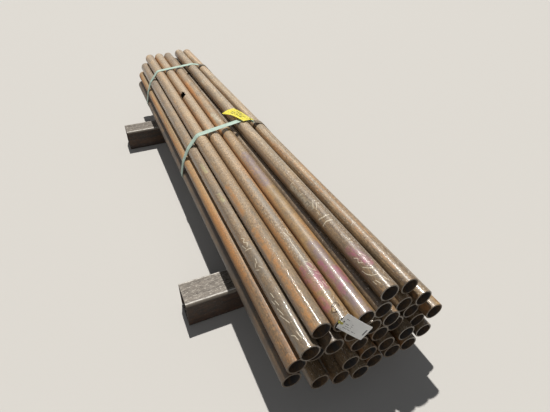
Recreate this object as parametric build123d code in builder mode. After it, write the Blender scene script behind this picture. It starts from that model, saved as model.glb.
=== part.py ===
import math
import os

from build123d import *

os.makedirs("parts", exist_ok=True)

# Sizes are in millimetres. X runs across the bundle, Y from its loose front ends to its
# rear ends, Z up. The origin is on the ground under the middle of the bundle.

# Pipe: 2-3/8 in. tube cut to 8 ft
pipe_od = 60.3
pipe_wall = 4.83
pipe_length = 2438.0
pipe_gap = 0.35

# Box tubes that the bundle lies on
rail_side = 120.0
rail_wall = 6.3
rail_corner = 14.0
rail_overhang_left = 168.0
rail_overhang_right = 66.0
rail_gap = 0.3
front_rail_y = 535.0
rear_rail_y = 1985.0

# Steel straps and their crimped seals
strap_width = 31.75
strap_thickness = 1.1
strap_gap = 0.6
middle_strap_y = 1180.0
rear_strap_y = 2115.0
seal_length = 44.0
seal_thickness = 1.0
seal_lip = 3.0
seal_gap = 0.15

# Torch-cut hole in one pipe of the top layer
torch_hole_diameter = 24.0
torch_hole_y = 1690.0
torch_hole_lean = 38.0

# Paper tag that hangs by a wire in front of the same pipe
paper_tag_length = 76.0
paper_tag_width = 57.0
paper_tag_thickness = 0.5
paper_tag_eyelet = 7.0
paper_tag_inset = 6.0
paper_tag_ahead = 28.3
paper_tag_aside = 13.6
paper_tag_below_rim = 16.8
paper_tag_corner = 2.0
paper_tag_run = (0.689, -0.589, -0.422)
paper_tag_face = (-0.568, -0.801, 0.189)
wire_diameter = 1.6
wire_gap = 0.3
wire_inside = 50.0
wire_outside = 34.0
wire_curl = 6.0
wire_bend = 2.5

# Bowed plastic tag on top of the middle strap, and the wire clip that holds it
plastic_tag_length = 156.0
plastic_tag_width = 68.0
plastic_tag_corner = 3.0
plastic_tag_thickness = 0.8
plastic_tag_radius = 110.0
plastic_tag_turn = 20.5
plastic_tag_lead = 18.0
plastic_tag_gap = 0.4
plastic_tag_hole = 7.0
clip_diameter = 2.4
clip_aside = 34.0
clip_length = 37.0
clip_corner = 3.0
clip_gap = 0.5

# Where each pipe lies, counted in pitches of one pipe and its gap: across and up at the
# front ends, across and up at the rear section. The last value is how far the pipe's
# front end stands back from the foremost one, in millimetres.
pitch = pipe_od + pipe_gap
rear_section_y = 38.0 * pitch
floor_level = -3.6
layers = {
    "top": [
        (0.10, 0.10, 0.20, 0.05, 40),
        (1.15, 0.10, 1.25, 0.10, 35),
        (2.25, 0.10, 2.25, 0.10, 25),
        (3.50, 0.90, 3.60, 0.30, 40),
        (5.15, 0.20, 4.60, 0.00, 65),
    ],
    "second": [
        (-0.55, -0.70, -0.50, -0.70, 20),
        (0.60, -0.80, 0.70, -0.80, 15),
        (1.70, -0.75, 1.70, -0.80, 25),
        (3.35, -0.15, 2.95, -0.60, 35),
        (4.95, -0.85, 4.15, -0.85, 55),
        (5.95, -0.70, 5.15, -0.85, 45),
    ],
    "third": [
        (-1.05, -1.60, -0.80, -1.65, 30),
        (-0.05, -1.70, 0.15, -1.65, 45),
        (2.25, -1.80, 1.20, -1.70, 25),
        (2.80, -1.00, 2.30, -1.60, 30),
        (3.90, -1.05, 3.40, -1.65, 30),
        (5.55, -1.80, 4.55, -1.75, 55),
        (6.60, -1.80, 5.65, -1.75, 25),
    ],
    "fourth": [
        (-1.30, -2.60, -1.15, -2.70, 30),
        (1.70, -2.65, 0.60, -2.60, 10),
        (2.80, -2.70, 1.65, -2.60, 15),
        (3.35, -1.90, 2.70, -2.50, 30),
        (4.50, -1.85, 3.70, -2.45, 40),
        (4.90, -2.75, 4.75, -2.60, 25),
        (6.05, -2.75, 5.65, -2.65, 50),
        (7.20, -2.60, 6.50, -2.65, 75),
    ],
    "bottom": [
        (0.10, -3.35, -0.35, -3.50, 15),
        (1.25, -3.60, 0.70, -3.60, 10),
        (2.30, -3.60, 1.75, -3.60, 0),
        (3.35, -3.60, 2.80, -3.60, 15),
        (3.85, -2.75, 3.80, -3.40, 20),
        (4.35, -3.60, 4.85, -3.60, 20),
        (5.45, -3.60, 5.90, -3.60, 20),
        (6.70, -3.60, 6.95, -3.60, 40),
    ],
}
settle_rounds = 1500
settle_stations = [share / 8 for share in range(10)]
settle_slack = 0.0005


class Lie:
    """One pipe's name, its centre at the front and rear sections, and its set-back."""

    def __init__(self, name, place):
        self.name = name
        self.front = [place[0], place[1]]
        self.rear = [place[2], place[3]]
        self.set_back = place[4]
        self.on_rails = place[1] == floor_level and place[3] == floor_level

    def at(self, share):
        across = self.front[0] * (1 - share) + self.rear[0] * share
        up = self.front[1] * (1 - share) + self.rear[1] * share
        return across, up

    def push(self, share, across, up):
        weight = (1 - share) ** 2 + share**2
        for end, part in ((self.front, 1 - share), (self.rear, share)):
            end[0] += across * part / weight
            end[1] += up * part / weight

    def rest(self):
        for end in (self.front, self.rear):
            end[1] = floor_level if self.on_rails else max(end[1], floor_level)


def part_neighbours(one, other):
    """Push two pipes apart wherever their centres are less than one pitch from each other."""
    moved = False
    for share in settle_stations:
        a = one.at(share)
        b = other.at(share)
        gap = math.dist(a, b)
        if gap < 1 - settle_slack:
            half = (1 - gap) / 2
            across = (b[0] - a[0]) / gap * half
            up = (b[1] - a[1]) / gap * half
            one.push(share, -across, -up)
            other.push(share, across, up)
            moved = True
    return moved


pipes = []
for layer_name, places in layers.items():
    for count, place in enumerate(places, start=1):
        pipes.append(Lie(f"pipe_{layer_name}_{count}", place))

for settle_round in range(settle_rounds):
    moved = False
    for index, one in enumerate(pipes):
        for other in pipes[index + 1 :]:
            moved = part_neighbours(one, other) or moved
    for one in pipes:
        one.rest()
    if not moved:
        break
print("settled after", settle_round, "rounds")

by_name = {one.name: one for one in pipes}
tagged = by_name["pipe_top_2"]
crowned = by_name["pipe_top_4"]
corner_pipe = by_name["pipe_top_5"]
shoulder_pipe = by_name["pipe_second_6"]

# The part's frame: the middle in X and Y is over the origin, paper tag and rails included
pipe_level = rail_side + rail_gap + pipe_od / 2
tag_turn = Plane(origin=(0, 0, 0), x_dir=paper_tag_run, z_dir=paper_tag_face)
tag_reach = (
    paper_tag_ahead
    + abs(tag_turn.x_dir.Y) * paper_tag_length / 2
    + abs(tag_turn.y_dir.Y) * paper_tag_width / 2
    - tagged.set_back
)
front_y = (tag_reach - pipe_length - max(one.set_back for one in pipes)) / 2


def centre_at(one, behind):
    """Centre of a pipe, behind the foremost end by the given distance."""
    across, up = one.at(behind / rear_section_y)
    return Vector(across * pitch - middle_x, front_y + behind, (up - floor_level) * pitch + pipe_level)


middle_x = 0.0
left_side = min(centre_at(one, front_rail_y).X for one in pipes) - pipe_od / 2
right_side = max(centre_at(one, front_rail_y).X for one in pipes) + pipe_od / 2
rail_left = left_side - rail_overhang_left
rail_right = right_side + rail_overhang_right
middle_x = (rail_left + rail_right) / 2
rail_length = rail_right - rail_left

# Pipes: straight hollow tubes, each along its own slightly fanned line
for one in pipes:
    start = centre_at(one, one.set_back)
    along = (centre_at(one, rear_section_y) - start).normalized()
    section = Plane(origin=start, x_dir=(1, 0, 0), z_dir=along)
    with BuildPart() as pipe:
        with BuildSketch(section):
            Circle(pipe_od / 2)
            Circle(pipe_od / 2 - pipe_wall, mode=Mode.SUBTRACT)
        extrude(amount=pipe_length)
        if one is tagged:
            hole_centre = start + along * (torch_hole_y - one.set_back)
            lean = math.radians(torch_hole_lean)
            hole_plane = Plane(
                origin=hole_centre,
                x_dir=along,
                z_dir=(-math.sin(lean), 0, math.cos(lean)),
            )
            with BuildSketch(hole_plane):
                Circle(torch_hole_diameter / 2)
            extrude(amount=pipe_od, mode=Mode.SUBTRACT)
    pipe.part.label = one.name
    export_step(pipe.part, f"parts/{one.name}.step")


def convex_corners(points):
    """The points on the outer corners of a set, anticlockwise."""
    ordered = sorted(points)

    def side(source):
        chain = []
        for point in source:
            while len(chain) > 1:
                (x0, z0), (x1, z1) = chain[-2], chain[-1]
                if (x1 - x0) * (point[1] - z0) - (z1 - z0) * (point[0] - x0) > 0:
                    break
                chain.pop()
            chain.append(point)
        return chain[:-1]

    return side(ordered) + side(reversed(ordered))


def pack_corners(behind):
    """Centres of the pipes that a strap at this place bears on."""
    centres = [centre_at(one, behind) for one in pipes]
    return convex_corners([(centre.X, centre.Z) for centre in centres])


# Straps: closed bands drawn tight round the pack
for name, behind in (("strap_middle", middle_strap_y), ("strap_rear", rear_strap_y)):
    corners = pack_corners(behind)
    inner_offset = pipe_od / 2 + strap_gap
    # the XZ plane seen from the front, so that X stays to the right
    cross_section = Plane(
        origin=(0, front_y + behind - strap_width / 2, 0),
        x_dir=(1, 0, 0),
        z_dir=(0, -1, 0),
    )
    with BuildPart() as strap:
        with BuildSketch(cross_section):
            with BuildSketch(mode=Mode.PRIVATE) as outline:
                Polygon(*corners, align=None)
            add(offset(outline.sketch, amount=inner_offset + strap_thickness, mode=Mode.PRIVATE))
            add(offset(outline.sketch, amount=inner_offset, mode=Mode.PRIVATE), mode=Mode.SUBTRACT)
        extrude(amount=-strap_width)
    strap.part.label = name
    export_step(strap.part, f"parts/{name}.step")

# Rails: two box tubes across the bundle, on the ground
for name, behind in (("rail_front", front_rail_y), ("rail_rear", rear_rail_y)):
    end_plane = Plane(
        origin=(-rail_length / 2, front_y + behind, rail_side / 2),
        x_dir=(0, 1, 0),
        z_dir=(1, 0, 0),
    )
    with BuildPart() as rail:
        with BuildSketch(end_plane):
            RectangleRounded(rail_side, rail_side, rail_corner)
            RectangleRounded(
                rail_side - 2 * rail_wall,
                rail_side - 2 * rail_wall,
                rail_corner - rail_wall,
                mode=Mode.SUBTRACT,
            )
        extrude(amount=rail_length)
    rail.part.label = name
    export_step(rail.part, f"parts/{name}.step")

# Seals: folded sleeves round the straps, in the valley below the top right pipe
for name, behind in (("seal_middle", middle_strap_y), ("seal_rear", rear_strap_y)):
    corners = pack_corners(behind)
    top_right = centre_at(corner_pipe, behind)
    ahead_of_it = corners.index((top_right.X, top_right.Z)) - 1
    lower = Vector(corners[ahead_of_it][0], top_right.Y, corners[ahead_of_it][1])
    along = (lower - top_right).normalized()
    valley = (centre_at(shoulder_pipe, behind) - top_right).length / 2
    outward = Vector(-along.Z, 0, along.X)
    strap_middle_line = pipe_od / 2 + strap_gap + strap_thickness / 2
    seal_plane = Plane(
        origin=top_right + along * (valley - seal_length / 2) + outward * strap_middle_line,
        x_dir=(0, 1, 0),
        z_dir=along,
    )
    slot_width = strap_width + 2 * seal_gap
    slot_height = strap_thickness + 2 * seal_gap
    with BuildPart() as seal:
        with BuildSketch(seal_plane):
            Rectangle(slot_width + 2 * seal_thickness, slot_height + 2 * seal_thickness)
            Rectangle(slot_width, slot_height, mode=Mode.SUBTRACT)
            with Locations((0, -slot_height / 2 - seal_thickness / 2)):
                Rectangle(slot_width - 2 * seal_lip, seal_thickness, mode=Mode.SUBTRACT)
        extrude(amount=seal_length)
    seal.part.label = name
    export_step(seal.part, f"parts/{name}.step")

# Plastic tag: a thin sheet bent over the raised pipe, turned against it
crown = centre_at(crowned, middle_strap_y)
crown_height = pipe_od / 2 + strap_gap + strap_thickness + plastic_tag_gap
tag_axis = (centre_at(crowned, rear_section_y) - crown).normalized()
bend_centre = crown + Vector(0, 0, crown_height - plastic_tag_radius)
tag_back = plastic_tag_length / 2 * math.cos(math.radians(plastic_tag_turn)) - plastic_tag_lead
outline_plane = Plane(
    origin=bend_centre + tag_axis * tag_back,
    x_dir=Vector(0, 1, 0).rotate(Axis.Z, plastic_tag_turn),
    z_dir=(0, 0, 1),
)
with BuildPart() as plastic_tag:
    with BuildSketch(Plane(origin=bend_centre, x_dir=(1, 0, 0), z_dir=tag_axis)):
        Circle(plastic_tag_radius + plastic_tag_thickness)
        Circle(plastic_tag_radius, mode=Mode.SUBTRACT)
    extrude(amount=tag_back + plastic_tag_length, both=True)
    with BuildSketch(outline_plane):
        RectangleRounded(plastic_tag_length, plastic_tag_width, plastic_tag_corner)
    extrude(amount=2 * plastic_tag_radius, mode=Mode.INTERSECT)
    with BuildSketch(Plane(origin=crown + Vector(clip_aside, clip_length / 2, 0))):
        Circle(plastic_tag_hole / 2)
    extrude(amount=plastic_tag_radius, mode=Mode.SUBTRACT)
plastic_tag.part.label = "plastic_tag"
export_step(plastic_tag.part, "parts/plastic_tag.step")

# Clip: one loop of wire through the plastic tag and round the strap
corner = centre_at(corner_pipe, middle_strap_y)
strap_fall = math.atan2(crown.Z - corner.Z, corner.X - crown.X)
strap_under = (pipe_od / 2 + strap_gap - clip_aside * math.sin(strap_fall)) / math.cos(strap_fall)
tag_fall = math.asin(clip_aside / plastic_tag_radius)
tag_over = (
    crown_height
    - plastic_tag_radius
    + (plastic_tag_radius + plastic_tag_thickness) * math.cos(tag_fall)
)
clip_low = strap_under - clip_gap - clip_diameter / 2 / math.cos(strap_fall)
clip_high = tag_over + clip_gap + clip_diameter / 2 / math.cos(tag_fall)
clip_middle = crown + Vector(clip_aside, 0, (clip_low + clip_high) / 2)
clip_height = clip_high - clip_low
clip_plane = Plane(origin=clip_middle, x_dir=(0, 1, 0), z_dir=(1, 0, 0))
with BuildPart() as plastic_tag_clip:
    with BuildLine(clip_plane) as clip_line:
        FilletPolyline(
            (clip_length / 2, -clip_height / 2),
            (clip_length / 2, clip_height / 2),
            (-clip_length / 2, clip_height / 2),
            (-clip_length / 2, -clip_height / 2),
            radius=clip_corner,
            close=True,
        )
    with BuildSketch(Plane(origin=clip_line.line @ 0, z_dir=clip_line.line % 0)):
        Circle(clip_diameter / 2)
    sweep()
plastic_tag_clip.part.label = "plastic_tag_clip"
export_step(plastic_tag_clip.part, "parts/plastic_tag_clip.step")

# Paper tag: a thin plate with an eyelet, leaning in front of the tagged pipe's rim
rim = centre_at(tagged, tagged.set_back)


def from_rim(aside, ahead, above):
    """A place to the right of the rim's centre, ahead of it and above it."""
    return rim + Vector(aside, -ahead, above)


tag_middle = from_rim(paper_tag_aside, paper_tag_ahead, pipe_od / 2 - paper_tag_below_rim)
tag_plane = Plane(origin=tag_middle, x_dir=paper_tag_run, z_dir=paper_tag_face)
eyelet_across = paper_tag_inset - paper_tag_length / 2
with BuildPart() as paper_tag:
    with BuildSketch(tag_plane):
        RectangleRounded(paper_tag_length, paper_tag_width, paper_tag_corner)
        with Locations((eyelet_across, 0)):
            Circle(paper_tag_eyelet / 2, mode=Mode.SUBTRACT)
    extrude(amount=paper_tag_thickness / 2, both=True)
paper_tag.part.label = "paper_tag"
export_step(paper_tag.part, "parts/paper_tag.step")

# Its wire: from inside the pipe, round the rim, through the eyelet and back over the top
bore_side = pipe_od / 2 - pipe_wall - wire_gap - wire_diameter / 2
top_side = pipe_od / 2 + wire_gap + wire_diameter / 2
curl_side = top_side + wire_gap * 2
eyelet = tag_plane.from_local_coords(Vector(eyelet_across, 0, 0))


def on_round(radius, aside, ahead):
    """A place on a round about the tagged pipe's centre line."""
    return from_rim(aside, ahead, math.sqrt(radius**2 - aside**2))


through = tag_plane.z_dir
hang = eyelet - tag_plane.x_dir * (paper_tag_eyelet / 2 - wire_gap - wire_diameter / 2)
curl_back = wire_outside + 2 * wire_curl
wire_places = [
    on_round(bore_side, -2.0, -wire_inside),
    on_round(bore_side - wire_gap, -6.0, 5.0),
    hang - through * 3.0,
    hang + through * 3.0,
    eyelet + through * 2.0 - tag_plane.x_dir * (paper_tag_inset + 2.0),
    on_round(top_side, -12.0, -5.0),
    on_round(curl_side, -7.0, -curl_back),
    on_round(curl_side, -7.0 + 2 * wire_curl, -curl_back),
    on_round(curl_side, -7.0 + 2 * wire_curl, -wire_outside),
    on_round(curl_side, -7.0 + wire_diameter * 2, -wire_outside),
]

with BuildPart() as paper_tag_wire:
    with BuildLine() as wire_line:
        FilletPolyline(*wire_places, radius=wire_bend)
    with BuildSketch(Plane(origin=wire_line.line @ 0, z_dir=wire_line.line % 0)):
        Circle(wire_diameter / 2)
    sweep()
paper_tag_wire.part.label = "paper_tag_wire"
export_step(paper_tag_wire.part, "parts/paper_tag_wire.step")
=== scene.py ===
import random
from math import copysign, cos, exp, pi, radians, sin, sqrt

import bmesh
import bpy
import numpy as np
from mathutils import Matrix, Vector


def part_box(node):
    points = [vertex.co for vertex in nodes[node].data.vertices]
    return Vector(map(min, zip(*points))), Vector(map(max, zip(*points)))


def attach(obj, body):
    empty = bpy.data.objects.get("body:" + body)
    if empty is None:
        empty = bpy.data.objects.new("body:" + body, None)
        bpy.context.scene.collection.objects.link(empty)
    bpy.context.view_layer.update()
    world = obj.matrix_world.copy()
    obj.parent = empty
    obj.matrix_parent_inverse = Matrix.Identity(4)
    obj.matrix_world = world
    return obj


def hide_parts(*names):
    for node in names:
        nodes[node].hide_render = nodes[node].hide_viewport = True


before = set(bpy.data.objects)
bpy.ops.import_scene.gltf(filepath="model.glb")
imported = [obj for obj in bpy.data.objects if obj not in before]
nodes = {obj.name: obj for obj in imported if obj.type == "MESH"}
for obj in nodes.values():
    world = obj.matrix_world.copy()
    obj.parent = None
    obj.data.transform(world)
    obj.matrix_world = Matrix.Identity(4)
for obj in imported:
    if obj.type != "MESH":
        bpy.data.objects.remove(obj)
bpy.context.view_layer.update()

print("stage: frame loaded,", len(nodes), "nodes")


# A shader value; each sum or product of it is a Math node in its tree
class Value:
    def __init__(self, socket):
        self.socket = socket
        self.tree = socket.id_data

    def __add__(self, other):
        return calc("ADD", self, other)

    def __sub__(self, other):
        return calc("SUBTRACT", self, other)

    def __rsub__(self, other):
        return calc("SUBTRACT", other, self)

    def __mul__(self, other):
        return calc("MULTIPLY", self, other)

    def __truediv__(self, other):
        return calc("DIVIDE", self, other)

    def __abs__(self):
        return calc("ABSOLUTE", self)

    __radd__ = __add__
    __rmul__ = __mul__


# Sets a node's inputs, i0 by number or Base_Color by name, to a constant or a Value
def feed(node, **inputs):
    for key, value in inputs.items():
        slot = node.inputs[int(key[1:]) if key[1:].isdigit() else key.replace("_", " ")]
        if isinstance(value, Value):
            value.tree.links.new(value.socket, slot)
        else:
            slot.default_value = value
    return node


def put(tree, kind, settings=None, **inputs):
    node = tree.nodes.new(kind)
    for key, value in (settings or {}).items():
        setattr(node, key, value)
    return feed(node, **inputs)


def pick(node, key=0):
    return Value(node.outputs[key])


# The output of a new node in the tree that its inputs are in
def derive(kind, settings=None, key=0, **inputs):
    tree = next(value.tree for value in inputs.values() if isinstance(value, Value))
    return pick(put(tree, "ShaderNode" + kind, settings, **inputs), key)


def calc(operation, a, b=0.0, clamp=False):
    return derive("Math", {"operation": operation, "use_clamp": clamp}, i0=a, i1=b)


def most(first, *others):
    for other in others:
        first = calc("MAXIMUM", first, other)
    return first


def vec(operation, a, b=(0, 0, 0)):
    key = "Value" if operation in ("DOT_PRODUCT", "LENGTH") else "Vector"
    return derive("VectorMath", {"operation": operation}, key, i0=a, i1=b)


def scaled(vector, factor):
    return derive("VectorMath", {"operation": "SCALE"}, i0=vector, Scale=factor)


def split(vector):
    node = put(vector.tree, "ShaderNodeSeparateXYZ", i0=vector)
    return pick(node, 0), pick(node, 1), pick(node, 2)


def pack(x, y, z):
    return derive("CombineXYZ", i0=x, i1=y, i2=z)


def span(value, low, high, first=0.0, last=1.0):
    return derive("MapRange", i0=value, i1=low, i2=high, i3=first, i4=last)


def blend(amount, a, b, mode="MIX"):
    a, b = (color if isinstance(color, Value) else (*color, 1.0) for color in (a, b))
    return derive("Mix", {"data_type": "RGBA", "blend_type": mode}, 2, i0=amount, i6=a, i7=b)


def shaded(color, shade):
    return blend(1.0, color, pack(shade, shade, shade), "MULTIPLY")


def noise(place, stretch, detail, rough):
    at = vec("MULTIPLY", place, stretch)
    return derive("TexNoise", i0=at, Scale=1.0, Detail=detail, Roughness=rough)


def bump(height, strength, distance):
    return derive("Bump", Strength=strength, Distance=distance, Height=height)


# A new material, its surface shader and its object coordinates
def newMaterial(name):
    material = bpy.data.materials.new(name)
    material.use_nodes = True
    tree = material.node_tree
    tree.nodes.clear()
    surface = put(tree, "ShaderNodeBsdfPrincipled")
    put(tree, "ShaderNodeOutputMaterial", Surface=pick(surface))
    return material, surface, pick(put(tree, "ShaderNodeTexCoord"), "Object")


# How far a surface faces up, from the object's own normals
def upward(place):
    return split(pick(put(place.tree, "ShaderNodeTexCoord"), "Normal"))[2]


def newGroup(name, inputs, outputs):
    tree = bpy.data.node_groups.new(name, "ShaderNodeTree")
    for way, sockets in (("INPUT", inputs), ("OUTPUT", outputs)):
        for label, kind in sockets.items():
            tree.interface.new_socket(label, in_out=way, socket_type="NodeSocket" + kind)
    return tree, put(tree, "NodeGroupInput"), put(tree, "NodeGroupOutput")


# One straight stroke from A to B in a flat pair of coordinates, as a soft-edged mask
strokeInputs = {"Place": "Vector", "A": "Vector", "B": "Vector", "Width": "Float"}
strokeGroup, strokeIn, strokeOut = newGroup("stroke", strokeInputs, {"Mask": "Float"})
strokeCore = 0.45


def fillStroke():
    place, a, b, width = (pick(strokeIn, key) for key in strokeInputs)
    ab = vec("SUBTRACT", b, a)
    ap = vec("SUBTRACT", place, a)
    part = calc("DIVIDE", vec("DOT_PRODUCT", ap, ab), vec("DOT_PRODUCT", ab, ab), clamp=True)
    far = vec("LENGTH", vec("SUBTRACT", ap, scaled(ab, part)))
    feed(strokeOut, Mask=span(far, width * strokeCore, width, 1.0, 0.0))


fillStroke()


# Masks of several strokes, joined; each line is (u, v, u, v) in the units of place, and its own width
def strokes(place, lines, width):
    masks = []
    for u0, v0, u1, v1, *own in lines:
        ends = {"A": (u0, v0, 0), "B": (u1, v1, 0), "Width": own[0] if own else width}
        masks.append(derive("Group", {"node_tree": strokeGroup}, Place=place, **ends))
    return most(*masks)


# Rusty steel of the pipes, in each pipe's own frame: Y along it from the front, Z up
rustLook = {
    "tan": (0.405, 0.262, 0.128), "brown": (0.13, 0.076, 0.036),
    "grey": (0.255, 0.205, 0.14), "scale": (0.115, 0.088, 0.058),
    "orange": (0.46, 0.195, 0.05), "dark": (0.05, 0.036, 0.025),
    "dust": (0.555, 0.462, 0.33), "fleck": (0.78, 0.72, 0.62),
    "bore": (0.024, 0.023, 0.023), "boreRust": (0.15, 0.082, 0.03),
    "cut": (0.125, 0.095, 0.064),
    "seedStep": (3.1, 7.7, 5.3), "sideStep": (9, 4, 2), "heightUnit": 0.03,
}

# Stretch, detail and roughness of each noise
rustNoise = {
    "band": ((34, 0.9, 34), 4, 0.6),  # long soft streaks
    "line": ((260, 4.5, 260), 5, 0.68),  # thin lines from the mill rolls
    "patch": ((24, 11, 24), 6, 0.62),
    "mottle": ((210, 110, 210), 4, 0.66),
    "speck": ((260, 150, 260), 3, 0.6),
    "grain": ((700, 480, 700), 3, 0.7),
    "glintFlake": ((310, 120, 310), 2, 0.5),
    "side": ((28, 1.6, 28), 6, 0.62),
}
rustShares = ("Seed", "Orange", "Grey", "Dark", "Streak", "Dust")
rustInputs = {"Place": "Vector", **dict.fromkeys(rustShares, "Float")}
rustOutputs = {"Color": "Color", **dict.fromkeys(("Roughness", "Height", "Bore", "Glint"), "Float")}
rustGroup, rustIn, rustOut = newGroup("rustSteel", rustInputs, rustOutputs)


def fillRust():
    look = rustLook
    given = (pick(rustIn, key) for key in rustInputs)
    place, seed, orangeShare, greyShare, darkShare, streak, dustAndSheenShare = given
    x, y, z = split(place)
    moved = vec("ADD", place, scaled(look["seedStep"], seed))
    aside = vec("ADD", moved, look["sideStep"])
    band, line, patch, mottle, speck, grain, glintFlake, side = (
        noise(aside if key == "side" else moved, *values) for key, values in rustNoise.items()
    )
    line = 0.5 + (line - 0.5) * streak
    height = z / look["heightUnit"]
    tone = mottle * 0.3 + line * 0.36 + band * 0.34
    color = blend(span(tone, 0.43, 0.56), look["brown"], look["tan"])
    grey = patch * 0.45 + band * 0.3 + mottle * 0.25 + (greyShare - 0.5) * 0.42
    grey = span(grey, 0.46, 0.6)
    scale = blend(span(speck, 0.35, 0.65), look["scale"], look["grey"])
    color = blend(grey * 0.88, color, scale)
    orange = side * 0.72 + mottle * 0.28 + span(height, 1.0, -0.3) * 0.1 + (orangeShare - 0.5) * 0.45
    orange = span(orange, 0.545, 0.66)
    color = blend(orange * 0.82, color, look["orange"])
    pits = span(speck, 0.6, 0.7) * 0.5 + span(mottle, 0.66, 0.74) * 0.4
    color = blend(pits, color, look["dark"])
    dust = span(speck, 0.4, 0.31) * span(height, 0.2, 1.0, 0.15, 0.6)
    color = blend(dust, color, look["dust"])
    # pale film on the crest, heavier towards the rear: dust, and painted sheen where the crest and the far
    # end catch the light
    film = span(height, 0.6, 0.95) * span(mottle, 0.36, 0.6, 0.1, 0.62)
    film = film * dustAndSheenShare * span(y, 0.25, 1.2, 0.25, 1.0)
    color = blend(film, color, look["dust"])
    flank = span(height, 0.75, 0.05) * span(patch, 0.3, 0.62, 0.25, 0.65)
    color = blend(flank, color, look["brown"])
    color = blend(darkShare * span(patch, 0.35, 0.65, 0.6, 1.0), color, look["dark"])
    shade = span(grain, 0.3, 0.7, 0.72, 1.28) * span(speck, 0.33, 0.67, 0.66, 1.36)
    shade = shade * span(line, 0.34, 0.66, 0.74, 1.28)
    # darker towards the front and the underside, lighter towards the rear: painted shade and painted sheen
    shade = shade * span(y, 0.0, 1.1, 0.8, 1.3) * span(height, -0.6, 0.4, 0.55, 1.0)
    color = shaded(color, shade)
    # pale flecks near the crest: painted glints, partly dust
    bright = span(glintFlake, 0.635, 0.68) * span(height, 0.55, 0.95) * span(dustAndSheenShare, 0.2, 1.0, 0.1, 0.75)
    color = blend(bright, color, look["fleck"])
    rough = 0.54 + orange * 0.16 - grey * 0.17 + (speck - 0.5) * 0.5
    # the bore, near black as dark scale and painted shade, and the cut ends
    radius = vec("LENGTH", pack(x, 0.0, z))
    inside = span(radius, 0.0258, 0.0262, 1.0, 0.0)
    low = span(patch - height * 0.1, 0.45, 0.66) * span(mottle, 0.38, 0.6, 0.3, 1.0)
    color = blend(inside, color, blend(low, look["bore"], look["boreRust"]))
    cut = span(y, 0.0008, 0.0014, 1.0, 0.0) * span(radius, 0.0251, 0.0255)
    cut = cut * span(mottle, 0.34, 0.52, 0.35, 1.0)
    color = blend(cut * 0.85, color, look["cut"])
    rough = most(rough, inside * 0.75)
    relief = grain * 0.35 + line * 0.25 + mottle * 0.8 - speck * 0.4
    glint = span(speck, 0.6, 0.46, 0.35, 1.0) * span(orange, 0.9, 0.2, 0.15, 1.0)
    feed(rustOut, Color=color, Roughness=rough, Height=relief, Bore=inside, Glint=glint)


fillRust()

paintLook = {
    "chalk": (0.8, 0.72, 0.56), "pink": (0.36, 0.095, 0.165),
    "smear": (0.66, 0.62, 0.48), "lime": (0.5, 0.5, 0.24),
    "grey": (0.25, 0.225, 0.19), "scale": (0.12, 0.095, 0.064),
    "violet": (0.23, 0.165, 0.18), "gold": (0.43, 0.27, 0.105),
    "orange": (0.48, 0.225, 0.07), "dark": (0.06, 0.043, 0.03),
    "sootAndShade": (0.006, 0.005, 0.004),
}
markLook = {"chalkWidth": 1.5, "chalkAmount": 0.8, "sway": 5.0, "around": 30.15, "along": 1000.0}


# Rust for one pipe, with the bands, patches and chalk strokes that lie on it
def pipeMaterial(name, look):
    material, surface, place = newMaterial(name)
    own = {key: look[key.lower()] for key in rustShares}
    rust = put(place.tree, "ShaderNodeGroup", {"node_tree": rustGroup}, Place=place, **own)
    color, rough, height, bore, glint = (pick(rust, key) for key in rustOutputs)
    outer = 1.0 - bore
    x, y, z = split(place)
    # millimetres round from the top and along from the front, a little bent
    flat = pack(calc("ARCTAN2", x, z) * markLook["around"], y * markLook["along"], 0.0)
    sway = (noise(place, (60, 30, 60), 2, 0.5) - 0.5) * markLook["sway"]
    flat = vec("ADD", flat, pack(sway, 0.0, 0.0))
    wobble = noise(place, (90, 50, 90), 4, 0.65)
    fray = noise(place, (480, 300, 480), 3, 0.7)
    for kind, amount, width, lines in look.get("bands", ()):
        mask = strokes(flat, lines, width) * span(wobble, 0.38, 0.58, 0.15, 1.0)
        mask = mask * span(fray, 0.34, 0.54, 0.5, 1.0) * outer
        color = blend(mask * amount, color, paintLook[kind])
    if "chalk" in look:
        mask = strokes(flat, look["chalk"], markLook["chalkWidth"])
        mask = mask * span(fray, 0.36, 0.52, 0.2, 1.0) * outer
        color = blend(mask * markLook["chalkAmount"], color, paintLook["chalk"])
        rough = most(rough, mask * markLook["chalkAmount"])
    # near black in the bore round the torch hole: burn soot and painted shade
    if "sootAndShade" in look:
        color = blend(span(abs(y - look["sootAndShade"]), 0.16, 0.08) * bore, color, paintLook["sootAndShade"])
    # rings tilt the thin film along the pipe only, and break up its line of light
    rings = noise(vec("ADD", place, (look["seed"], 0, 0)), (40, 620, 40), 2, 0.5)
    feed(
        surface, Base_Color=color, Roughness=rough + look["matt"], Normal=bump(height, 0.4, 0.0005),
        Coat_Weight=glint * (outer * look["gloss"]), Coat_Roughness=look["coat"],
        Coat_Normal=bump(rings, look["ripple"], 0.0006), Specular_IOR_Level=0.7,
    )
    return material


# Pipes
pipeSize = {
    "outer": 0.03015, "inner": 0.02532, "segments": 96, "outerBevel": 0.0007, "innerBevel": 0.0004,
    "hold": 0.002, "slant": 0.0004, "endDepth": 0.004, "stops": (0.3, 0.8, 1.3, 1.9),
}

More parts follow.
